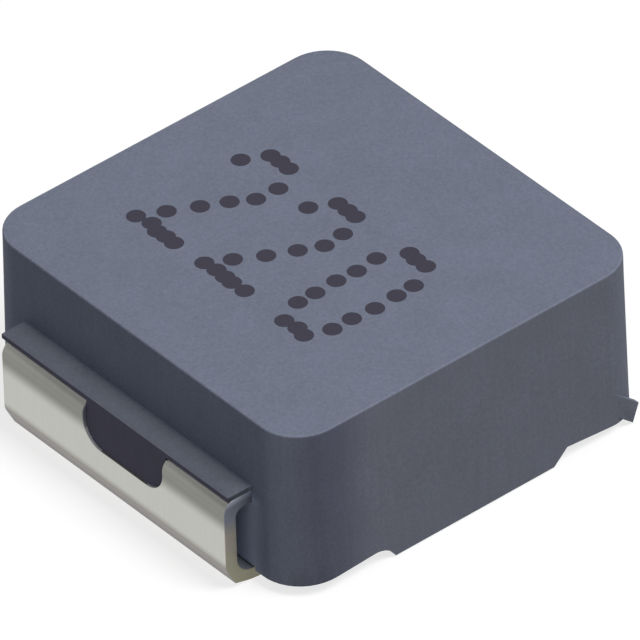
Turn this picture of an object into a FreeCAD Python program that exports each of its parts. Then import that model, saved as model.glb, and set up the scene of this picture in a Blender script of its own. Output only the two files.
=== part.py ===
import FreeCAD, Part
import math
import os

# Shielded surface-mount power inductor. An edge-wound flat copper coil is welded to two terminals
# cut from one tinned copper strip, and the magnetic composite is pressed around all of them.
# X runs from terminal to terminal and Z is up. The pieces are built about the body's middle, and then
# moved so that the origin is midway between the terminals' outer faces, on the plane that the solder
# feet stand on. All sizes are in millimetres.

V = FreeCAD.Vector

# Pressed body, measured at its top face where no other place is named
body_length = 16.3
body_width = 17.15
body_height = 7.15
draft_angle = 1.0
corner_radius = 1.75
top_edge_radius = 0.08
standoff = 0.05

# Formed terminal strips
strip_thickness = 0.55
terminal_inset = 2.3
near_reach = 1.35
far_reach = 0.95
exit_height = 4.03
bend_outer_radius = 0.55
bend_inner_radius = 0.33
near_heel_radius = 0.69
far_heel_radius = 0.4
foot_corner_radius = 0.5
foot_end_gap = 0.25
foot_clearance = 0.07
foot_side_gap = 0.1
end_shortfall = 0.22
flange_depth = 0.8
tab_margin = 0.3

# Outside of the heel, which the folding tool strikes to a facet with a sharp lower edge
facet_height = 1.08
facet_radius = 0.64
heel_edge_inset = 0.43
heel_edge_height = 0.23
heel_edge_radius = 0.06
sole_inset = 1.3
sole_radius = 3.0

# Window through the strip's upper bend, and the composite that keys into it
window_width = 4.4
window_offset = -0.65
window_drop = 1.68
window_corner_radius = 0.95
window_inset = 0.3
key_setback = 0.06

# Ledge of composite that covers each terminal's exit
ledge_thickness = 0.2
ledge_setback = 0.2

# Recesses under the base, each with a sloping ceiling and a level pocket for the solder foot
recess_length = 4.45
shoulder_radius = 1.0
ramp_angle = 42.0
near_ceiling_fall = 2.5
far_ceiling_fall = 5.3

# Gate vestige on one foot corner of the body
gate_thickness = 0.22
gate_width = 0.9
gate_length = 1.75
gate_angle = 41.0
gate_tip_inset = 0.42
gate_tip_height = 0.82
gate_side_inset = 0.035

# Edge-wound coil of flat wire
wire_width = 2.5
wire_thickness = 0.5
turn_gap = 0.04
lead_edge_inset = 0.175
cover = 1.1
lead_bend_radius = 0.25
lead_clearance = 0.15
lead_end_wall = 0.45
weld_length = 1.0
ramp_sweep = 45.0
ramp_margin = 3.0
ramp_steps = 3

# Levels and places that follow from the sizes above
top_level = standoff + body_height
lean = math.tan(math.radians(draft_angle))
half_length = body_length / 2
half_width = body_width / 2
base_half_length = half_length + lean * body_height
base_half_width = half_width + lean * body_height
recess_ceiling = strip_thickness + foot_clearance
recess_depth = recess_ceiling - standoff
shoulder_run = math.sqrt(recess_depth * (2 * shoulder_radius - recess_depth))
terminal_half_width = half_width - terminal_inset
near_face = half_length + near_reach
far_face = half_length + far_reach
origin_shift = (near_reach - far_reach) / 2
foot_end = half_length - recess_length + shoulder_run + foot_end_gap
strip_middle = exit_height - strip_thickness / 2
coil_outer_radius = terminal_half_width - lead_edge_inset
coil_inner_radius = coil_outer_radius - wire_width
coil_middle_radius = (coil_outer_radius + coil_inner_radius) / 2
pitch = wire_thickness + turn_gap
room_below = strip_middle - recess_ceiling - cover
room_above = top_level - cover - strip_middle
turns = int((2 * min(room_below, room_above) - wire_thickness) / pitch)
coil_base = strip_middle - (turns * pitch + wire_thickness) / 2
lead_footprint = math.degrees(math.acos(coil_inner_radius / coil_outer_radius))
ramp_start = 270 - lead_footprint - ramp_margin - ramp_sweep


def rounded_path(points, radii):
    """Joins the points by straight edges, with an arc of the given radius at each inner point."""
    edges = []
    start = points[0]
    for corner, following, radius in zip(points[1:-1], points[2:], radii):
        back = (start - corner).normalize()
        ahead = (following - corner).normalize()
        half_angle = back.getAngle(ahead) / 2
        inward = (back + ahead).normalize()
        first = corner + back * (radius / math.tan(half_angle))
        middle = corner + inward * (radius / math.sin(half_angle) - radius)
        last = corner + ahead * (radius / math.tan(half_angle))
        edges.append(Part.LineSegment(start, first).toShape())
        edges.append(Part.Arc(first, middle, last).toShape())
        start = last
    edges.append(Part.LineSegment(start, points[-1]).toShape())
    return edges


def rounded_rectangle(half_x, half_y, radius, z):
    """A closed wire with rounded corners, centred on the Z axis at height z."""
    corners = [V(half_x, half_y, z), V(-half_x, half_y, z), V(-half_x, -half_y, z), V(half_x, -half_y, z)]
    start = V(half_x, 0, z)
    return Part.Wire(rounded_path([start] + corners + [start], [radius] * 4))


def prism(points, along):
    """A solid with a flat polygon as its end, extruded along a vector."""
    return Part.Face(Part.makePolygon(points + points[:1])).extrude(along)


def mirrored(shape):
    """The same form on the far side, at positive X."""
    return shape.mirror(V(0, 0, 0), V(1, 0, 0))


def window_prism(face):
    """Rounded opening that runs along X from outside the upright's outer face into the body's side."""
    middle = window_offset
    low = exit_height - window_drop
    high = exit_height + ledge_thickness / 2
    side = window_width / 2
    x = -(face + strip_thickness)
    outline = rounded_path(
        [V(x, middle, high), V(x, middle - side, high), V(x, middle - side, low),
         V(x, middle + side, low), V(x, middle + side, high), V(x, middle, high)],
        [ledge_thickness / 4, window_corner_radius, window_corner_radius, ledge_thickness / 4])
    depth = face + strip_thickness - (half_length - window_inset)
    return Part.Face(Part.Wire(outline)).extrude(V(depth, 0, 0))


def terminal(face, heel_radius):
    """One terminal from one strip: flange in the body, coined bend, upright, struck heel, solder foot.

    face is how far the upright's outer face stands from the body's middle, towards negative X."""
    inner_end = half_length - lead_end_wall - weld_length
    heel_edge = V(-(face - heel_edge_inset), 0, heel_edge_height)
    sole_start = V(-(face - sole_inset), 0, 0)
    outer_side = rounded_path(
        [V(-inner_end, 0, exit_height), V(-face, 0, exit_height), V(-face, 0, facet_height),
         heel_edge, sole_start, V(-foot_end, 0, 0)],
        [bend_outer_radius, facet_radius, heel_edge_radius, sole_radius])
    inner_face = face - strip_thickness
    under = exit_height - strip_thickness
    inner_side = rounded_path(
        [V(-inner_end, 0, under), V(-inner_face, 0, under), V(-inner_face, 0, strip_thickness),
         V(-foot_end, 0, strip_thickness)],
        [bend_inner_radius, heel_radius])
    ends = [Part.LineSegment(V(-inner_end, 0, under), V(-inner_end, 0, exit_height)).toShape(),
            Part.LineSegment(V(-foot_end, 0, 0), V(-foot_end, 0, strip_thickness)).toShape()]
    section = Part.Face(Part.Wire(Part.__sortEdges__(outer_side + inner_side + ends)))
    section.translate(V(0, -terminal_half_width, 0))
    strip = section.extrude(V(0, 2 * terminal_half_width - end_shortfall, 0))
    strip = strip.cut([flange_notch(inner_end), window_prism(face)])
    tips = [edge for edge in strip.Edges if is_foot_corner(edge)]
    return strip.makeFillet(foot_corner_radius, tips)


def near_terminal():
    """The strip that is folded down at negative X."""
    return terminal(near_face, near_heel_radius)


def far_terminal():
    """The strip at positive X, folded closer to the body over a tighter heel."""
    return mirrored(terminal(far_face, far_heel_radius))


def is_foot_corner(edge):
    """True for the two upright edges at the tip of the solder foot."""
    ends = [vertex.Point for vertex in edge.Vertexes]
    heights = [end.z for end in ends]
    at_tip = all(abs(end.x + foot_end) < 1e-6 for end in ends)
    return at_tip and max(heights) - min(heights) > strip_thickness / 2


def flange_notch(inner_end):
    """Trims the flange inside the body to one tab, beside its edge, that the coil's lead is welded to."""
    tab_side = tab_margin - coil_inner_radius
    depth = half_length - flange_depth - inner_end
    corner = V(-(inner_end + depth), tab_side, exit_height - 2 * strip_thickness)
    return Part.makeBox(depth, terminal_half_width - tab_side, 3 * strip_thickness, corner)


def ring_sector(start_angle, sweep, base, height):
    """Flat stretch of the winding: a sector of a ring as wide as the wire."""
    outer = Part.makeCylinder(coil_outer_radius, height, V(0, 0, base), V(0, 0, 1), sweep)
    inner = Part.makeCylinder(coil_inner_radius, height, V(0, 0, base), V(0, 0, 1), sweep)
    sector = outer.cut(inner)
    sector.rotate(V(0, 0, 0), V(0, 0, 1), start_angle)
    return sector


def ramp_rail(radius, base):
    """One edge of the ramp: an arc that climbs one pitch and starts and ends level."""
    points = []
    tangents = []
    for step in range(ramp_steps + 1):
        share = step / ramp_steps
        angle = math.radians(ramp_start + share * ramp_sweep)
        points.append(V(radius * math.cos(angle), radius * math.sin(angle),
                        base + pitch * (1 - math.cos(math.pi * share)) / 2))
        turned = math.radians(ramp_sweep) / ramp_steps
        tangents.append(V(-radius * math.sin(angle) * turned, radius * math.cos(angle) * turned,
                          pitch * math.pi * math.sin(math.pi * share) / (2 * ramp_steps)))
    curve = Part.BSplineCurve()
    curve.interpolate(Points=points, Tangents=tangents, TangentFlags=[True] * len(points),
                      Parameters=[float(step) for step in range(ramp_steps + 1)], Scale=False)
    return curve.toShape()


def ramp(base, height):
    """Stretch of the winding that climbs from one turn's level to the next."""
    rails = [ramp_rail(coil_inner_radius, base), ramp_rail(coil_outer_radius, base),
             ramp_rail(coil_outer_radius, base + height), ramp_rail(coil_inner_radius, base + height)]
    sides = [Part.makeRuledSurface(a, b) for a, b in zip(rails, rails[1:] + rails[:1])]
    starts = [rail.valueAt(rail.FirstParameter) for rail in rails]
    finishes = [rail.valueAt(rail.LastParameter) for rail in rails]
    caps = [Part.Face(Part.makePolygon(points + points[:1])) for points in (starts, finishes)]
    shell = Part.Shell([face for side in sides for face in side.Faces] + caps)
    shell.sewShape()
    bar = Part.Solid(shell)
    if bar.Volume < 0:
        bar.reverse()
    return bar


def lead(side, low, high):
    """Coil lead towards side (-1 or 1): the tangent run, the step clear of the turns, the weld end.

    low and high are the lower and upper faces of the wire, counted from its own lower face."""
    run = math.sqrt(coil_outer_radius ** 2 - coil_inner_radius ** 2) + lead_clearance
    weld_end = half_length - lead_end_wall
    weld_start = weld_end - weld_length
    if side < 0:
        level = coil_base
        weld_level = exit_height - strip_thickness - wire_thickness
    else:
        level = coil_base + turns * pitch
        weld_level = exit_height
    y = -coil_middle_radius
    points = [V(0, y, level), V(side * run, y, level),
              V(side * weld_start, y, weld_level), V(side * weld_end, y, weld_level)]
    path = Part.Wire(rounded_path(points, [lead_bend_radius + wire_thickness] * 2))
    corners = [V(0, -coil_outer_radius, level + low), V(0, -coil_inner_radius, level + low),
               V(0, -coil_inner_radius, level + high), V(0, -coil_outer_radius, level + high)]
    return path.makePipeShell([Part.makePolygon(corners + corners[:1])], True, False)


def coil():
    """The whole winding in one length of flat wire: level turns, a ramp up to each next, two leads."""
    around = 360 - ramp_sweep
    pieces = [ring_sector(-90, ramp_start + 90, coil_base, wire_thickness)]
    for turn in range(turns):
        level = coil_base + turn * pitch
        pieces.append(ramp(level, wire_thickness))
        if turn < turns - 1:
            pieces.append(ring_sector(ramp_start + ramp_sweep, around, level + pitch, wire_thickness))
    pieces.append(ring_sector(ramp_start + ramp_sweep, 270 - ramp_start - ramp_sweep,
                              coil_base + turns * pitch, wire_thickness))
    pieces.append(lead(-1, 0, wire_thickness))
    pieces.append(lead(1, 0, wire_thickness))
    return pieces[0].fuse(pieces[1:]).removeSplitter()


def coil_space():
    """Space that the coil takes up in the body: the closed stack of turns and a channel for each lead."""
    ease = 1.5 * turn_gap
    stack = (turns - 1) * pitch + wire_thickness
    return [ring_sector(-90, ramp_start + 90, coil_base, stack), ramp(coil_base, stack),
            ring_sector(ramp_start + ramp_sweep, 270 - ramp_start - ramp_sweep, coil_base + pitch, stack),
            lead(-1, 0, wire_thickness + ease), lead(1, -ease, wire_thickness)]


def block():
    """Drafted block with rounded upright corners and a crisp, barely eased top edge."""
    grown = lean * body_height
    base = rounded_rectangle(base_half_length, base_half_width, corner_radius + grown, standoff)
    top = rounded_rectangle(half_length, half_width, corner_radius, top_level)
    solid = Part.makeLoft([base, top], True, True)
    rim = [edge for edge in solid.Edges if edge.BoundBox.ZMin > top_level - 1e-6]
    return solid.makeFillet(top_edge_radius, rim)


def ledge(face):
    """Thin shelf of composite over a strip where it leaves the body's side."""
    reach = face - ledge_setback
    depth = reach - half_length + corner_radius
    corner = V(-reach, -terminal_half_width, exit_height)
    return Part.makeBox(depth, 2 * terminal_half_width, ledge_thickness, corner)


def window_key(face):
    """Composite that fills a strip's window, its face sloping out from the ledge's edge."""
    low = exit_height - window_drop - strip_thickness
    inner = half_length - corner_radius
    points = [V(-inner, 0, low), V(-(face - key_setback), 0, low), V(-(face - ledge_setback), 0, exit_height),
              V(-inner, 0, exit_height)]
    wedge = prism([point - V(0, half_width, 0) for point in points], V(0, body_width, 0))
    return wedge.common(window_prism(face))


def falling_ceiling(start, fall):
    """Point well outside the body on the ceiling that falls outwards from start, fall in degrees."""
    return start - V(body_length, 0, body_length * math.tan(math.radians(fall)))


def recess(section, start):
    """Recess with the given side view, and a level pocket for the foot from start outwards."""
    section.translate(V(0, -body_width, 0))
    trough = section.extrude(V(0, 2 * body_width, 0))
    half_pocket = terminal_half_width + foot_side_gap
    outside = start - V(base_half_length, half_pocket, recess_ceiling + body_height)
    pocket = Part.makeBox(base_half_length, 2 * half_pocket, recess_ceiling + body_height, outside)
    return trough.fuse(pocket)


def near_recess():
    """Space under the near side: sloping ceiling, then a rounded shoulder that falls to the base."""
    shoulder = half_length - recess_length
    drop = shoulder_radius - recess_depth
    middle_angle = math.acos(drop / shoulder_radius) / 2
    crown = V(-(shoulder + shoulder_run), 0, recess_ceiling)
    arc_middle = V(math.sin(middle_angle), 0, math.cos(middle_angle) - 1)
    middle = crown + arc_middle * shoulder_radius
    foot = V(-shoulder, 0, standoff)
    low_inner = V(-shoulder, 0, -body_height)
    outer = falling_ceiling(crown, near_ceiling_fall)
    low_outer = V(outer.x, 0, -body_height)
    corners = [foot, low_inner, low_outer, outer, crown]
    edges = [Part.LineSegment(first, second).toShape() for first, second in zip(corners, corners[1:])]
    return recess(Part.Face(Part.Wire(edges + [Part.Arc(crown, middle, foot).toShape()])), crown)


def far_recess():
    """Space under the far side: sloping ceiling and a straight ramp down to the base."""
    shoulder = half_length - recess_length
    ramp_top = V(-(shoulder + recess_depth / math.tan(math.radians(ramp_angle))), 0, recess_ceiling)
    outer = falling_ceiling(ramp_top, far_ceiling_fall)
    low_outer = V(outer.x, 0, -body_height)
    corners = [V(-shoulder, 0, standoff), V(-shoulder, 0, -body_height), low_outer, outer, ramp_top]
    return mirrored(recess(Part.Face(Part.makePolygon(corners + corners[:1])), ramp_top))


def gate_vestige():
    """Thin film gate, broken off short, that leaves the body flush with the side face at one foot corner."""
    slant = V(math.cos(math.radians(gate_angle)), 0, -math.sin(math.radians(gate_angle)))
    tip = V(half_length - gate_tip_inset, 0, gate_tip_height)
    low = V(tip.x - gate_width * math.sin(math.radians(gate_angle)) / 2, 0, standoff)
    points = [low, tip, tip - slant * gate_length, low - slant * gate_length]
    side = base_half_width - gate_side_inset
    return prism([point - V(0, side, 0) for point in points], V(0, gate_thickness, 0))


def body():
    """Pressed composite body, exactly filled by the terminals and the coil that it is pressed around."""
    additions = [ledge(near_face), mirrored(ledge(far_face)),
                 window_key(near_face), mirrored(window_key(far_face))]
    solid = block().fuse(additions)
    solid = solid.cut([near_recess(), far_recess()])
    solid = solid.fuse(gate_vestige())
    solid = solid.cut([near_terminal(), far_terminal()] + coil_space())
    return solid.removeSplitter()


def export(shape, node):
    """Moves one node to the part's origin, writes it as a STEP file and prints what it holds."""
    shape.translate(V(origin_shift, 0, 0))
    shape.exportStep("parts/" + node + ".step")
    print(node, "solids", len(shape.Solids), "valid", shape.isValid(), "volume", round(shape.Volume, 3))


os.makedirs("parts", exist_ok=True)
coil_top = coil_base + turns * pitch + wire_thickness
print("turns", turns, "coil from", round(coil_base, 3), "to", round(coil_top, 3))
export(body(), "moulded_body")
export(coil(), "coil_winding")
export(near_terminal(), "terminal_near")
export(far_terminal(), "terminal_far")
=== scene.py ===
import math
import random

import bmesh
import bpy
from mathutils import Matrix, Vector


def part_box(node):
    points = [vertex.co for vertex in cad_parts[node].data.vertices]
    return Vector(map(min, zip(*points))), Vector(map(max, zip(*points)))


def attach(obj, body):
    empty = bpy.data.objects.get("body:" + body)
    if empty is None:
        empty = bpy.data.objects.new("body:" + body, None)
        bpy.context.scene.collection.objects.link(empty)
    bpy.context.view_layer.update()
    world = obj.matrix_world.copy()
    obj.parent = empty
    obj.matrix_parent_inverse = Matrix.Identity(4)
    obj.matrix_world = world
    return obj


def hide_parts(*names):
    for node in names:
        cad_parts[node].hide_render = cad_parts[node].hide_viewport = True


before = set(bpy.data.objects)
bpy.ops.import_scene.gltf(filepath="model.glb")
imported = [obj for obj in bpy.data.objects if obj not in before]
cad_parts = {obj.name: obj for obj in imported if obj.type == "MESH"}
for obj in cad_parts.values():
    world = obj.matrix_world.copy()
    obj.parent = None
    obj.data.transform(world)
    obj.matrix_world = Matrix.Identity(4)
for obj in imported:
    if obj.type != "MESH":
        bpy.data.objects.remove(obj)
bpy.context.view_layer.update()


# Pressed body
# Iron powder in epoxy, pressed in a steel die round the coil and both strips, then cured. It is matte
# blue grey with drag lines down its sides. Its colour has painted shade on the walls, near the corners and at
# ledges and windows, and painted light where the walls turn, behind the strips and at the ledges' roots.
mm = 0.001
body_edge = 0.03 * mm
ink_thickness = 0.004 * mm
merge_distance = 0.0005 * mm
flat_angle = math.radians(0.5)
edge_angle = math.radians(30)
shading_angle = math.radians(40)
mostly_outwards = 0.5

# The real grain and drag lines are finer, and are drawn as coarse as they need to be to show.
grain_width = 0.11 * mm
grain_height = 0.01 * mm
drag_line_width = 0.16 * mm
drag_line_length = 3.0 * mm
drag_share = 0.06
mottle_width = 1.6 * mm
mottle_share = 0.08

# Where the walls, the ledges and the strips' slots lie, out from the coil's middle or up from the board.
coil_low, coil_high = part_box("coil_winding")
middle_x = (coil_low.x + coil_high.x) / 2
body_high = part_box("moulded_body")[1]
strip_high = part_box("terminal_near")[1]
side_x = 8.15 * mm
outside_wall_x = side_x + 0.05 * mm
wall_foot_x = 8.28 * mm
ledge_reach = 1.15 * mm
shaded_skin_starts = 0.5 * mm
slot_half_width = 6.4 * mm
base_height = 0.7 * mm

# Tints of painted light and shade that multiply the composite's linear colour: above 1 it is paler, below 1
# darker.
# Painted shade on the ends and long sides, near the corners and on the ledges' rims and ends; painted light
# where the walls turn, on the walls behind the strips and at the ledges' roots.
end_wall_shade = (0.875, 0.90, 0.92, 1.0)
side_wall_shade = (0.865, 0.835, 0.78, 1.0)
turn_highlight = (1.22, 1.21, 1.20, 1.0)
corner_shade = (0.68, 0.67, 0.75, 1.0)
strip_gap_light = (2.6, 2.55, 2.5, 1.0)
ledge_root_light = (1.28, 1.25, 1.15, 1.0)
ledge_rim_shade = (0.69, 0.67, 0.63, 1.0)
ledge_end_shade = (0.47, 0.49, 0.52, 1.0)

# How a tint fades: where there is none of it and where there is all, as a share of a turn or as a place.
turn_begins = (0.0, 0.25)
turn_ends = (0.8, 0.4)
corner_begins = (side_x - 3.75 * mm, side_x - 1.75 * mm)
corner_ends = (side_x - 0.25 * mm, side_x - 1.25 * mm)
# Where the painted light lies: on the walls behind the strips, which the strips shade.
gap_light_beside = (strip_high.y + 1.05 * mm, strip_high.y - 0.1 * mm)
gap_light_above = (strip_high.z, strip_high.z - 0.5 * mm)
gap_light_outwards = (wall_foot_x + 0.1 * mm, wall_foot_x)
ledge_begins = (wall_foot_x, wall_foot_x + 0.1 * mm)

# A Mix node has sockets of one name for each kind of data, so its colour sockets go by number.
mix_share, mix_a, mix_b, mix_out = 0, 6, 7, 2


def linear(hex_colour):
    """A colour written as sRGB hex, as the linear red, green, blue and alpha that a shader takes."""
    channels = [int(hex_colour[place:place + 2], 16) / 255 for place in (1, 3, 5)]
    return [c / 12.92 if c <= 0.04045 else ((c + 0.055) / 1.055) ** 2.4 for c in channels] + [1.0]


def add_node(tree, kind, settings, links=()):
    """Adds a node, gives it its settings by property or socket, and links its sockets to outputs."""
    node = tree.nodes.new(kind)
    for name, value in settings.items():
        if isinstance(name, str) and hasattr(node, name):
            setattr(node, name, value)
        else:
            node.inputs[name].default_value = value
    for name, output in dict(links).items():
        tree.links.new(output, node.inputs[name])
    return node


def new_material(name):
    """An empty material with only its output node."""
    material = bpy.data.materials.new(name)
    material.use_nodes = True
    material.node_tree.nodes.clear()
    add_node(material.node_tree, "ShaderNodeOutputMaterial", {})
    return material


def finish_material(material, shader):
    """Joins the last shader to the material's output."""
    output = material.node_tree.nodes["Material Output"]
    material.node_tree.links.new(shader, output.inputs["Surface"])
    return material


def pressed_composite(name, dark, light):
    """Pressed iron powder composite: matte, with dust-fine grain and slow mottling from the filling, and
    painted light and shade on walls, corners and ledges.
    """
    material = new_material(name)
    tree = material.node_tree
    place = add_node(tree, "ShaderNodeTexCoord", {}).outputs["Object"]
    grain = add_node(tree, "ShaderNodeTexNoise", {"Scale": 1 / grain_width, "Detail": 3.0, "Roughness": 0.65},
                     {"Vector": place}).outputs["Fac"]
    mottle = add_node(tree, "ShaderNodeTexNoise", {"Scale": 1 / mottle_width, "Detail": 2.0},
                      {"Vector": place}).outputs["Fac"]
    stretched = add_node(tree, "ShaderNodeMapping", {"Scale": (1.0, 1.0, drag_line_width / drag_line_length)},
                         {"Vector": place}).outputs["Vector"]
    drag = add_node(tree, "ShaderNodeTexNoise", {"Scale": 1 / drag_line_width, "Detail": 1.0},
                    {"Vector": stretched}).outputs["Fac"]
    colour = add_node(tree, "ShaderNodeMix", {"data_type": "RGBA", mix_a: linear(dark), mix_b: linear(light)},
                      {mix_share: grain}).outputs[mix_out]
    for pattern, share in ((mottle, mottle_share), (drag, drag_share)):
        colour = add_node(tree, "ShaderNodeMix",
                          {"data_type": "RGBA", "blend_type": "OVERLAY", mix_share: share},
                          {mix_a: colour, mix_b: pattern}).outputs[mix_out]
    # Painted light and shade, put into the colour by where the surface lies and which way it faces.
    shaded_colour = painted_light_and_shade(tree, place, colour)
    height = add_node(tree, "ShaderNodeMath", {"operation": "ADD"}, {0: grain, 1: drag}).outputs[0]
    bump = add_node(tree, "ShaderNodeBump", {"Strength": 0.2, "Distance": grain_height},
                    {"Height": height}).outputs[0]
    shader = add_node(tree, "ShaderNodeBsdfPrincipled",
                      {"Roughness": 0.8, "IOR": 1.5, "Specular IOR Level": 0.15},
                      {"Base Color": shaded_colour, "Normal": bump}).outputs[0]
    return finish_material(material, shader)


def painted_light_and_shade(tree, place, colour):
    """Painted light and shade on the colour: walls darker than the top, highlights where they turn, shade
    near corners, light on the walls behind the strips, and shade and light across the ledges.
    """
    # How upright the surface stands, and how far it has turned away from the strips' sides.
    facing = add_node(tree, "ShaderNodeTexCoord", {}).outputs["Normal"]
    normal = add_node(tree, "ShaderNodeSeparateXYZ", {}, {"Vector": facing}).outputs
    level = add_node(tree, "ShaderNodeMath", {"operation": "ABSOLUTE"}, {0: normal["Z"]}).outputs[0]
    upright = add_node(tree, "ShaderNodeMath", {"operation": "SUBTRACT", 0: 1.0}, {1: level}).outputs[0]
    lengthwise = add_node(tree, "ShaderNodeMath", {"operation": "ABSOLUTE"}, {0: normal["Y"]}).outputs[0]

    # How far the point lies towards the near strip, towards either strip, and to either side of the middle.
    axes = add_node(tree, "ShaderNodeSeparateXYZ", {}, {"Vector": place}).outputs
    nearness = add_node(tree, "ShaderNodeMath", {"operation": "SUBTRACT", 0: middle_x},
                        {1: axes["X"]}).outputs[0]
    outness = add_node(tree, "ShaderNodeMath", {"operation": "ABSOLUTE"}, {0: nearness}).outputs[0]
    beside = add_node(tree, "ShaderNodeMath", {"operation": "ABSOLUTE"}, {0: axes["Y"]}).outputs[0]

    # Painted shade: the upright walls are darker than the top, the ends and the long sides each by their own
    # tint.
    wall_shade = add_node(tree, "ShaderNodeMix", {"data_type": "RGBA", mix_a: end_wall_shade, mix_b: side_wall_shade},
                   {mix_share: lengthwise}).outputs[mix_out]
    colour = add_node(tree, "ShaderNodeMix", {"data_type": "RGBA", "blend_type": "MULTIPLY"},
                      {mix_share: upright, mix_a: colour, mix_b: wall_shade}).outputs[mix_out]

    # Each painted tint has the shares that it starts from, and the values along which it fades: a painted
    # highlight where the walls turn, painted shade near the corners at the near strip's end, and painted
    # light on the walls behind the strips.
    painted_tints = [(turn_highlight, [], [(lengthwise, turn_begins), (lengthwise, turn_ends)]),
             (corner_shade, [upright], [(nearness, corner_begins), (nearness, corner_ends)]),
             (strip_gap_light, [upright], [(beside, gap_light_beside), (axes["Z"], gap_light_above),
                                    (outness, gap_light_outwards)])]
    for tint, shares, fades in painted_tints:
        for value, (none_at, all_at) in fades:
            smooth = {"interpolation_type": "SMOOTHSTEP", "From Min": none_at, "From Max": all_at}
            shares.append(add_node(tree, "ShaderNodeMapRange", smooth, {"Value": value}).outputs[0])
        share = shares.pop()
        for other in shares:
            share = add_node(tree, "ShaderNodeMath", {"operation": "MULTIPLY"},
                             {0: share, 1: other}).outputs[0]
        colour = add_node(tree, "ShaderNodeMix", {"data_type": "RGBA", "blend_type": "MULTIPLY", mix_b: tint},
                          {mix_share: share, mix_a: colour}).outputs[mix_out]

    # Painted light at the ledges' roots by the wall, and painted shade towards their rims and on their ends.
    reach = add_node(tree, "ShaderNodeMapRange", {"From Min": side_x, "From Max": side_x + ledge_reach},
                     {"Value": outness}).outputs[0]
    ledge = add_node(tree, "ShaderNodeMix", {"data_type": "RGBA", mix_a: ledge_root_light, mix_b: ledge_rim_shade},
                     {mix_share: reach}).outputs[mix_out]
    ended = add_node(tree, "ShaderNodeMix", {"data_type": "RGBA", "blend_type": "MULTIPLY", mix_b: ledge_end_shade},
                     {mix_share: lengthwise, mix_a: ledge}).outputs[mix_out]
    smooth = {"interpolation_type": "SMOOTHSTEP", "From Min": ledge_begins[0], "From Max": ledge_begins[1]}
    on_ledge = add_node(tree, "ShaderNodeMapRange", smooth, {"Value": outness}).outputs[0]
    return add_node(tree, "ShaderNodeMix", {"data_type": "RGBA", "blend_type": "MULTIPLY"},
                    {mix_share: on_ledge, mix_a: colour, mix_b: ended}).outputs[mix_out]


def merged_copy(node, name):
    """A new piece with the CAD node's form, its loose triangles merged and its flat faces made whole."""
    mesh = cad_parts[node].data.copy()
    mesh.name = name
    mesh.materials.clear()
    form = bmesh.new()
    form.from_mesh(mesh)
    bmesh.ops.remove_doubles(form, verts=form.verts, dist=merge_distance)
    bmesh.ops.dissolve_limit(form, angle_limit=flat_angle, verts=form.verts, edges=form.edges)
    piece = bpy.data.objects.new(name, mesh)
    bpy.context.scene.collection.objects.link(piece)
    return piece, form


def soften(form, edges, width):
    """Rounds the edges by a small radius, as tooling leaves them."""
    bmesh.ops.bevel(form, geom=edges, offset=width, offset_type="OFFSET", segments=2, profile=0.5,
                    affect="EDGES", material=-1, clamp_overlap=True)


def finish_piece(piece, form, materials, node):
    """Writes the form to its piece, shades it and hands it over in place of the CAD node."""
    form.to_mesh(piece.data)
    form.free()

    # The normals that came with the CAD mesh no longer fit its form.
    if "custom_normal" in piece.data.attributes:
        piece.data.attributes.remove(piece.data.attributes["custom_normal"])

    for material in materials:
        piece.data.materials.append(material)
    piece.data.shade_smooth()
    piece.data.set_sharp_from_angle(angle=shading_angle)
    even = piece.modifiers.new("even_normals", "WEIGHTED_NORMAL")
    even.keep_sharp = True
    even.weight = 100
    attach(piece, "root")
    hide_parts(node)


def is_sharp(edge):
    """True where two faces meet at an outward edge that is more than a soft bend."""
    return len(edge.link_faces) == 2 and edge.is_convex and edge.calc_face_angle() > edge_angle


def shows(edge):
    """True for the edges that show, outside the slots that the strips and the coil fill."""
    ends = [vertex.co for vertex in edge.verts]
    return all(abs(end.x - middle_x) > outside_wall_x or abs(end.y) > slot_half_width or end.z < base_height
               for end in ends)


def is_shaded_skin(face):
    """True for the outer edges of the ledges and the faces of the plugs in the windows, which take the more
    violet copy of the composite, part of their painted shade.
    """
    out = abs(face.calc_center_median().x - middle_x)
    return abs(face.normal.x) > mostly_outwards and out > side_x + shaded_skin_starts


body, body_form = merged_copy("moulded_body", "pressed_body")
for face in body_form.faces:
    face.material_index = 1 if is_shaded_skin(face) else 0
soften(body_form, [edge for edge in body_form.edges if is_sharp(edge) and shows(edge)], body_edge)

# The top gives way by the ink's thickness, so that the ink ends at the real height.
for vertex in body_form.verts:
    if vertex.co.z > body_high.z - ink_thickness / 2:
        vertex.co.z -= ink_thickness
composite = pressed_composite("pressed_iron_powder_composite", "#616778", "#7E8495")
# The second copy of the composite is more violet; with the ledge rim tint it paints the shade on the ledges'
# outer edges and the window plugs.
shaded_skin = pressed_composite("painted_shade_composite_skin", "#68677E", "#727188")
finish_piece(body, body_form, [composite, shaded_skin], "moulded_body")


# Terminal strips
# Copper strip 0.55 mm thick, tinned in the reel, then stamped and folded round the cured body. The tin is
# rolled, with painted shade at bend and heel and painted light under the ledge; the sheared edges are bare
# alloy with a painted reflection and shade near the top, and the inner face is dusty, with painted shade in
# the fold.
strip_edge = 0.035 * mm
strip_top = 4.03 * mm
smear_width = 0.35 * mm
smear_share = 0.12
fold_shade_above = 1.15 * mm
fold_shade_below = 0.75 * mm
edge_on = 0.9
facing_up = 0.1

# The real rolled lines are finer, and are drawn as coarse as they need to be to show.
roll_line_width = 0.05 * mm
roll_line_length = 2.5 * mm
roll_line_height = 0.004 * mm
roll_line_share = 0.08

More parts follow.
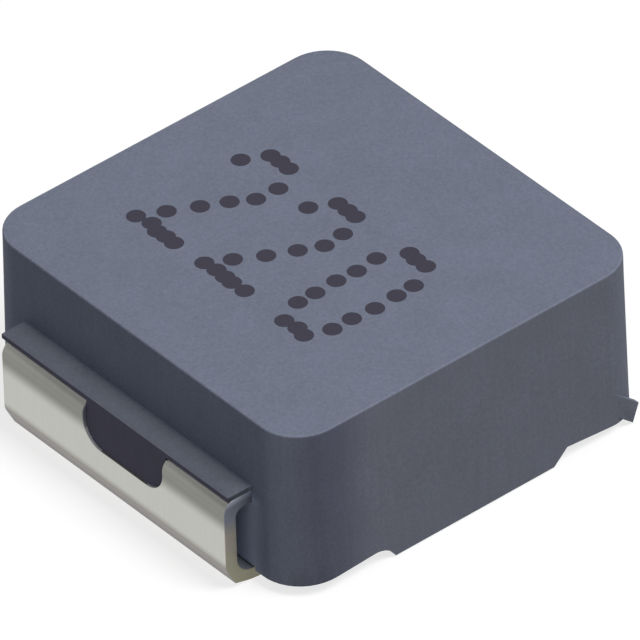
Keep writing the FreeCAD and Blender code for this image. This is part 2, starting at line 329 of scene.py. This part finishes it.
# Colours by height in millimetres, up from the foot over the heel and the upright to the bend. The tin's
# darker bands at heel and bend are painted shade and its pale top under the ledge painted light; the sheared
# edge turns bluish and darker towards the top as a painted reflection of the body and painted shade, and pale
# at the very top as painted light.
tin_painted_shade_and_light_stops = [(0.1, "#B9BAB3"), (0.3, "#736E6B"), (0.65, "#787370"), (1.0, "#8D8783"), (1.45, "#C0C1BA"),
               (2.62, "#BEBFB8"), (3.35, "#81827C"), (3.6, "#868780"), (3.85, "#9C9D97"), (4.0, "#C8C9C4")]
alloy_painted_shade_and_light_stops = [(0.8, "#878573"), (2.4, "#918C83"), (3.35, "#747883"), (3.7, "#70747F"), (4.0, "#9DA2AF")]


def colour_by_height(tree, height, stops):
    """A colour that changes along the strip's height, from stops of millimetres and sRGB hex."""
    share = add_node(tree, "ShaderNodeMapRange", {"From Max": strip_top}, {"Value": height}).outputs[0]
    ramp = add_node(tree, "ShaderNodeValToRGB", {}, {"Fac": share})
    ramp.color_ramp.interpolation = "EASE"
    given = len(ramp.color_ramp.elements)
    for stop, (level, colour) in enumerate(stops):
        place = level * mm / strip_top
        element = ramp.color_ramp.elements[stop] if stop < given else ramp.color_ramp.elements.new(place)
        element.position = place
        element.color = linear(colour)
    return ramp.outputs["Color"]


def tin_plate():
    """Matte tin plate: soft metal shine, rolled lines along the strip, with painted shade at bend and heel
    and painted light under the ledge.
    """
    material = new_material("matte_tin_plate")
    tree = material.node_tree
    place = add_node(tree, "ShaderNodeTexCoord", {}).outputs["Object"]
    squeeze = roll_line_width / roll_line_length
    along = add_node(tree, "ShaderNodeMapping", {"Scale": (squeeze, 1.0, squeeze)},
                     {"Vector": place}).outputs["Vector"]
    lines = add_node(tree, "ShaderNodeTexNoise", {"Scale": 1 / roll_line_width, "Detail": 2.0},
                     {"Vector": along}).outputs["Fac"]
    height = add_node(tree, "ShaderNodeSeparateXYZ", {}, {"Vector": place}).outputs["Z"]
    rolled = add_node(tree, "ShaderNodeMix",
                      {"data_type": "RGBA", "blend_type": "OVERLAY", mix_share: roll_line_share},
                      {mix_a: colour_by_height(tree, height, tin_painted_shade_and_light_stops), mix_b: lines}).outputs[mix_out]
    dullness = add_node(tree, "ShaderNodeMapRange", {"To Min": 0.34, "To Max": 0.44},
                        {"Value": lines}).outputs[0]
    bump = add_node(tree, "ShaderNodeBump", {"Strength": 0.1, "Distance": roll_line_height},
                    {"Height": lines}).outputs[0]
    shader = add_node(tree, "ShaderNodeBsdfPrincipled", {"Metallic": 1.0},
                      {"Base Color": rolled, "Roughness": dullness, "Normal": bump}).outputs[0]
    return finish_material(material, shader)


def sheared_copper_alloy():
    """Sheared edge of the strip: bare copper alloy, dulled and partly smeared over with tin, bluish and
    darker towards the top as a painted reflection of the body and painted shade, paler at the very top as
    painted light.
    """
    material = new_material("sheared_copper_alloy")
    tree = material.node_tree
    place = add_node(tree, "ShaderNodeTexCoord", {}).outputs["Object"]
    smear = add_node(tree, "ShaderNodeTexNoise", {"Scale": 1 / smear_width, "Detail": 3.0},
                     {"Vector": place}).outputs["Fac"]
    height = add_node(tree, "ShaderNodeSeparateXYZ", {}, {"Vector": place}).outputs["Z"]
    smeared = add_node(tree, "ShaderNodeMix",
                       {"data_type": "RGBA", "blend_type": "OVERLAY", mix_share: smear_share},
                       {mix_a: colour_by_height(tree, height, alloy_painted_shade_and_light_stops), mix_b: smear}).outputs[mix_out]
    shader = add_node(tree, "ShaderNodeBsdfPrincipled", {"Metallic": 1.0, "Roughness": 0.5},
                      {"Base Color": smeared}).outputs[0]
    return finish_material(material, shader)


def dusted_inner_face():
    """Inner face of the strip, grey with composite dust, darker in the fold and on the foot as painted shade.
    """
    material = new_material("composite_dusted_strip")
    tree = material.node_tree
    place = add_node(tree, "ShaderNodeTexCoord", {}).outputs["Object"]
    dust = add_node(tree, "ShaderNodeTexNoise", {"Scale": 1 / grain_width, "Detail": 3.0},
                    {"Vector": place}).outputs["Fac"]
    dusted = add_node(tree, "ShaderNodeMix",
                      {"data_type": "RGBA", mix_a: linear("#8E9298"), mix_b: linear("#AEB1B4")},
                      {mix_share: dust}).outputs[mix_out]
    height = add_node(tree, "ShaderNodeSeparateXYZ", {}, {"Vector": place}).outputs["Z"]
    # Painted shade: darker down in the fold and on the foot, where the strip and the body shade it.
    smooth = {"interpolation_type": "SMOOTHSTEP", "From Min": fold_shade_above, "From Max": fold_shade_below}
    fold_shade = add_node(tree, "ShaderNodeMapRange", smooth, {"Value": height}).outputs[0]
    colour = add_node(tree, "ShaderNodeMix", {"data_type": "RGBA", mix_b: linear("#7C818B")},
                      {mix_share: fold_shade, mix_a: dusted}).outputs[mix_out]
    shader = add_node(tree, "ShaderNodeBsdfPrincipled", {"Metallic": 0.3, "Roughness": 0.75},
                      {"Base Color": colour}).outputs[0]
    return finish_material(material, shader)


def strip_finish(face):
    """0 for the tinned face, 1 for the sheared edges, 2 for the face that looks at the body."""
    inward = face.normal.x * (middle_x - face.calc_center_median().x)
    top_of_foot = face.normal.z > facing_up and face.calc_center_median().z < strip_high.z / 2
    if abs(face.normal.y) > edge_on:
        return 1
    return 2 if inward > 0 or top_of_foot else 0


strip_finishes = [tin_plate(), sheared_copper_alloy(), dusted_inner_face()]
for node, name in (("terminal_near", "solder_strip_near"), ("terminal_far", "solder_strip_far")):
    strip, strip_form = merged_copy(node, name)
    for face in strip_form.faces:
        face.material_index = strip_finish(face)
    soften(strip_form, [edge for edge in strip_form.edges if is_sharp(edge)], strip_edge)
    finish_piece(strip, strip_form, strip_finishes, node)


# Coil
# Flat copper wire, enamelled in clear amber and wound on its narrow edge, with both ends welded to the
# strips. It is sealed in the composite, so that nothing of it shows outside.
draw_line_width = 0.2 * mm


def enamelled_copper():
    """Clear amber enamel on drawn copper: warm metal under a thin gloss coat."""
    material = new_material("enamelled_copper_wire")
    tree = material.node_tree
    place = add_node(tree, "ShaderNodeTexCoord", {}).outputs["Object"]
    draw = add_node(tree, "ShaderNodeTexNoise", {"Scale": 1 / draw_line_width, "Detail": 2.0},
                    {"Vector": place}).outputs["Fac"]
    colour = add_node(tree, "ShaderNodeMix",
                      {"data_type": "RGBA", mix_a: linear("#A85A2C"), mix_b: linear("#C0703C")},
                      {mix_share: draw}).outputs[mix_out]
    shader = add_node(tree, "ShaderNodeBsdfPrincipled",
                      {"Metallic": 1.0, "Roughness": 0.35, "Coat Weight": 0.6, "Coat Roughness": 0.15},
                      {"Base Color": colour}).outputs[0]
    return finish_material(material, shader)


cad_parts["coil_winding"].material_slots[0].material = enamelled_copper()


# Printed marking
# Three plain digits in dark ink, put on drop by drop by a print head as the part runs past it.
# The drops are wide for the height of the digits, so that neighbours in a row run together.
drop_width = 0.73 * mm
drop_sides = 28
drop_scatter = 0.09 * mm
scatter_seed = 22
row_pitch = 0.955 * mm
row_start = -3.68 * mm
column_pitch = 0.52 * mm
middle_column = 2
digits = "220"
digit_middles = [4.175 * mm, 0.525 * mm, -3.375 * mm]
digit_rows = {"2": ["01110", "10001", "00001", "00010", "00100", "01000", "11111"],
              "0": ["01110", "10001", "10001", "10001", "10001", "10001", "01110"]}


def marking_ink():
    """Dark violet-black pigment ink, dried matte into the grain of the composite."""
    material = new_material("marking_ink")
    tree = material.node_tree
    place = add_node(tree, "ShaderNodeTexCoord", {}).outputs["Object"]
    grain = add_node(tree, "ShaderNodeTexNoise", {"Scale": 1 / grain_width, "Detail": 2.0},
                     {"Vector": place}).outputs["Fac"]
    colour = add_node(tree, "ShaderNodeMix",
                      {"data_type": "RGBA", mix_a: linear("#3C3946"), mix_b: linear("#42404D")},
                      {mix_share: grain}).outputs[mix_out]
    shader = add_node(tree, "ShaderNodeBsdfPrincipled",
                      {"Roughness": 0.7, "IOR": 1.5, "Specular IOR Level": 0.2},
                      {"Base Color": colour}).outputs[0]
    return finish_material(material, shader)


def new_piece(name, form):
    """A new object that holds the form, which is used up."""
    piece = bpy.data.objects.new(name, bpy.data.meshes.new(name))
    form.to_mesh(piece.data)
    form.free()
    bpy.context.scene.collection.objects.link(piece)
    return piece


def drop_places():
    """Place of every drop on the top, in metres: digits one beside the other, rows along X."""
    scatter = random.Random(scatter_seed)
    places = []
    for digit, middle in zip(digits, digit_middles):
        for row, line in enumerate(reversed(digit_rows[digit])):
            for column, dot in enumerate(line):
                if dot == "1":
                    across = middle + (middle_column - column) * column_pitch
                    along = middle_x + row_start + row * row_pitch
                    aside = scatter.uniform(-drop_scatter, drop_scatter)
                    ahead = scatter.uniform(-drop_scatter, drop_scatter)
                    places.append((along + ahead, across + aside, body_high.z - ink_thickness / 2))
    return places


def printed_drops(places):
    """Flat discs of ink at the given places. They are made in millimetres, at which they join cleanly."""
    drops = bmesh.new()
    for place in places:
        bmesh.ops.create_cone(drops, cap_ends=True, segments=drop_sides, radius1=drop_width / 2 / mm,
                              radius2=(drop_width / 2 - ink_thickness) / mm, depth=ink_thickness / mm,
                              matrix=Matrix.Translation(Vector(place) / mm))
    return drops


# The drops become one film of ink. A union needs a second piece, and the first drop is that.
places = drop_places()
marking = new_piece("printed_marking", printed_drops(places[1:]))
first_drop = new_piece("first_drop", printed_drops(places[:1]))
joined = marking.modifiers.new("run_together", "BOOLEAN")
joined.operation = "UNION"
joined.solver = "EXACT"
joined.use_self = True
joined.object = first_drop
run_together = bpy.data.meshes.new_from_object(marking.evaluated_get(bpy.context.evaluated_depsgraph_get()))
run_together.transform(Matrix.Scale(mm, 4))
run_together.name = "printed_marking"
marking.modifiers.clear()
marking.data = run_together
bpy.data.objects.remove(first_drop)
marking.data.materials.append(marking_ink())
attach(marking, "root")


# Floor
# A plain pale table top. It shows white to the camera and in the metal, and keeps the part's shadow.
# The light that it throws back is even, also beneath the part, so that the base doesn't turn black.
floor_reach = 3.0
floor_gap = 0.01 * mm
floor_colour = "#959595"
floor_glow = 0.74
floor_bounce = 0.28
white = linear("#FFFFFF")


def seen_directly(tree):
    """1 for rays from the camera and in mirror or clear surfaces, 0 for the light that falls on things."""
    rays = add_node(tree, "ShaderNodeLightPath", {}).outputs
    seen = add_node(tree, "ShaderNodeMath", {"operation": "MAXIMUM"},
                    {0: rays["Is Camera Ray"], 1: rays["Is Glossy Ray"]}).outputs[0]
    return add_node(tree, "ShaderNodeMath", {"operation": "MAXIMUM"},
                    {0: seen, 1: rays["Is Transmission Ray"]}).outputs[0]


def pale_table():
    """Matte table: white where it is looked at, even in the light that it throws back, clear from below."""
    material = new_material("pale_table")
    tree = material.node_tree
    lift = add_node(tree, "ShaderNodeMath", {"operation": "MULTIPLY", 1: floor_glow},
                    {0: seen_directly(tree)}).outputs[0]
    glow = add_node(tree, "ShaderNodeEmission", {"Color": white}, {"Strength": lift}).outputs[0]
    matte = add_node(tree, "ShaderNodeBsdfDiffuse", {"Color": linear(floor_colour)}).outputs[0]
    looked_at = add_node(tree, "ShaderNodeAddShader", {}, {0: matte, 1: glow}).outputs[0]
    bounce = add_node(tree, "ShaderNodeEmission", {"Color": white, "Strength": floor_bounce}).outputs[0]
    thrown_back = add_node(tree, "ShaderNodeLightPath", {}).outputs["Is Diffuse Ray"]
    table = add_node(tree, "ShaderNodeMixShader", {}, {0: thrown_back, 1: looked_at, 2: bounce}).outputs[0]
    clear = add_node(tree, "ShaderNodeBsdfTransparent", {}).outputs[0]
    beneath = add_node(tree, "ShaderNodeNewGeometry", {}).outputs["Backfacing"]
    both = add_node(tree, "ShaderNodeMixShader", {}, {0: beneath, 1: table, 2: clear}).outputs[0]
    material.cycles.emission_sampling = "NONE"
    return finish_material(material, both)


table_top = bmesh.new()
bmesh.ops.create_grid(table_top, x_segments=1, y_segments=1, size=floor_reach,
                      matrix=Matrix.Translation((0, 0, -floor_gap)))
floor = new_piece("floor", table_top)
floor.data.materials.append(pale_table())


# Light
# One broad soft lamp stands high and to the right of the camera, in an evenly grey room.
# The room is white behind the part and greyer overhead, which gives the tin its gradation.
lamp_distance = 0.6
lamp_size = 0.3
lamp_height_angle = math.radians(62)
lamp_turn = math.radians(20)
lamp_level = 0.76
room_level = 0.32
white_up_to = 0.02
grey_from = 0.45
overhead_level = 0.45

lamp = bpy.data.objects.new("key_lamp", bpy.data.lights.new("key_lamp", "AREA"))
bpy.context.scene.collection.objects.link(lamp)
lamp.data.shape = "DISK"
lamp.data.size = lamp_size

# At a level of 1 the lamp alone would light a white sheet that faces it to white.
lamp.data.energy = lamp_level * (math.pi * lamp_distance) ** 2
toward_lamp = Vector((math.sin(lamp_turn) * math.cos(lamp_height_angle),
                      -math.cos(lamp_turn) * math.cos(lamp_height_angle), math.sin(lamp_height_angle)))
lamp.location = toward_lamp * lamp_distance
lamp.rotation_mode = "QUATERNION"
lamp.rotation_quaternion = toward_lamp.to_track_quat("Z", "Y")
lamp.visible_camera = False

world = bpy.data.worlds.new("grey_room")
bpy.context.scene.world = world
world.use_nodes = True
room = world.node_tree
room.nodes.clear()
direction = add_node(room, "ShaderNodeTexCoord", {}).outputs["Generated"]
up = add_node(room, "ShaderNodeSeparateXYZ", {}, {"Vector": direction}).outputs["Z"]
fade = add_node(room, "ShaderNodeMapRange", {"From Min": white_up_to, "From Max": grey_from, "To Min": 1.0,
                                             "To Max": overhead_level}, {"Value": up}).outputs[0]
camera_ray = add_node(room, "ShaderNodeLightPath", {}).outputs["Is Camera Ray"]
fade = add_node(room, "ShaderNodeMath", {"operation": "MAXIMUM"}, {0: fade, 1: camera_ray}).outputs[0]
behind = add_node(room, "ShaderNodeBackground", {"Color": white}, {"Strength": fade}).outputs[0]
around = add_node(room, "ShaderNodeBackground", {"Color": white, "Strength": room_level}).outputs[0]
mixed = add_node(room, "ShaderNodeMixShader", {}, {0: seen_directly(room), 1: around, 2: behind}).outputs[0]
add_node(room, "ShaderNodeOutputWorld", {}, {"Surface": mixed})


# Camera
# It stands off the near left corner and well above it, with a long lens, a little rolled.
# A shift of a few pixels, as wide as they are at the part, sets the part in its place in the picture.
view_turn = math.radians(38.97)
view_height = math.radians(38.52)
view_roll = math.radians(-1.96)
view_distance = 0.660
focal_length = 1040.6
sensor_width = 36.0
pixel = 0.03569 * mm
shift_right = 5.1 * pixel
shift_up = -0.2 * pixel
aim_height = 3.6 * mm
nearest_seen = 0.01
farthest_seen = 10.0

level_right = Vector((math.cos(view_turn), -math.sin(view_turn), 0.0))
forward = Vector((math.sin(view_turn), math.cos(view_turn), 0.0))
steep_up = forward * math.sin(view_height) + Vector((0.0, 0.0, math.cos(view_height)))
back = -forward * math.cos(view_height) + Vector((0.0, 0.0, math.sin(view_height)))
right = level_right * math.cos(view_roll) + steep_up * math.sin(view_roll)
upward = steep_up * math.cos(view_roll) - level_right * math.sin(view_roll)
camera = bpy.data.objects.new("camera", bpy.data.cameras.new("camera"))
bpy.context.scene.collection.objects.link(camera)
camera.data.sensor_width = sensor_width
camera.data.lens = focal_length
camera.data.clip_start = nearest_seen
camera.data.clip_end = farthest_seen
aim = Vector((middle_x, 0.0, aim_height))
camera.location = aim + back * view_distance + right * shift_right + upward * shift_up
camera.rotation_mode = "QUATERNION"
camera.rotation_quaternion = Matrix((right, upward, back)).transposed().to_quaternion()
bpy.context.scene.camera = camera
bpy.context.scene.view_settings.view_transform = "Standard"
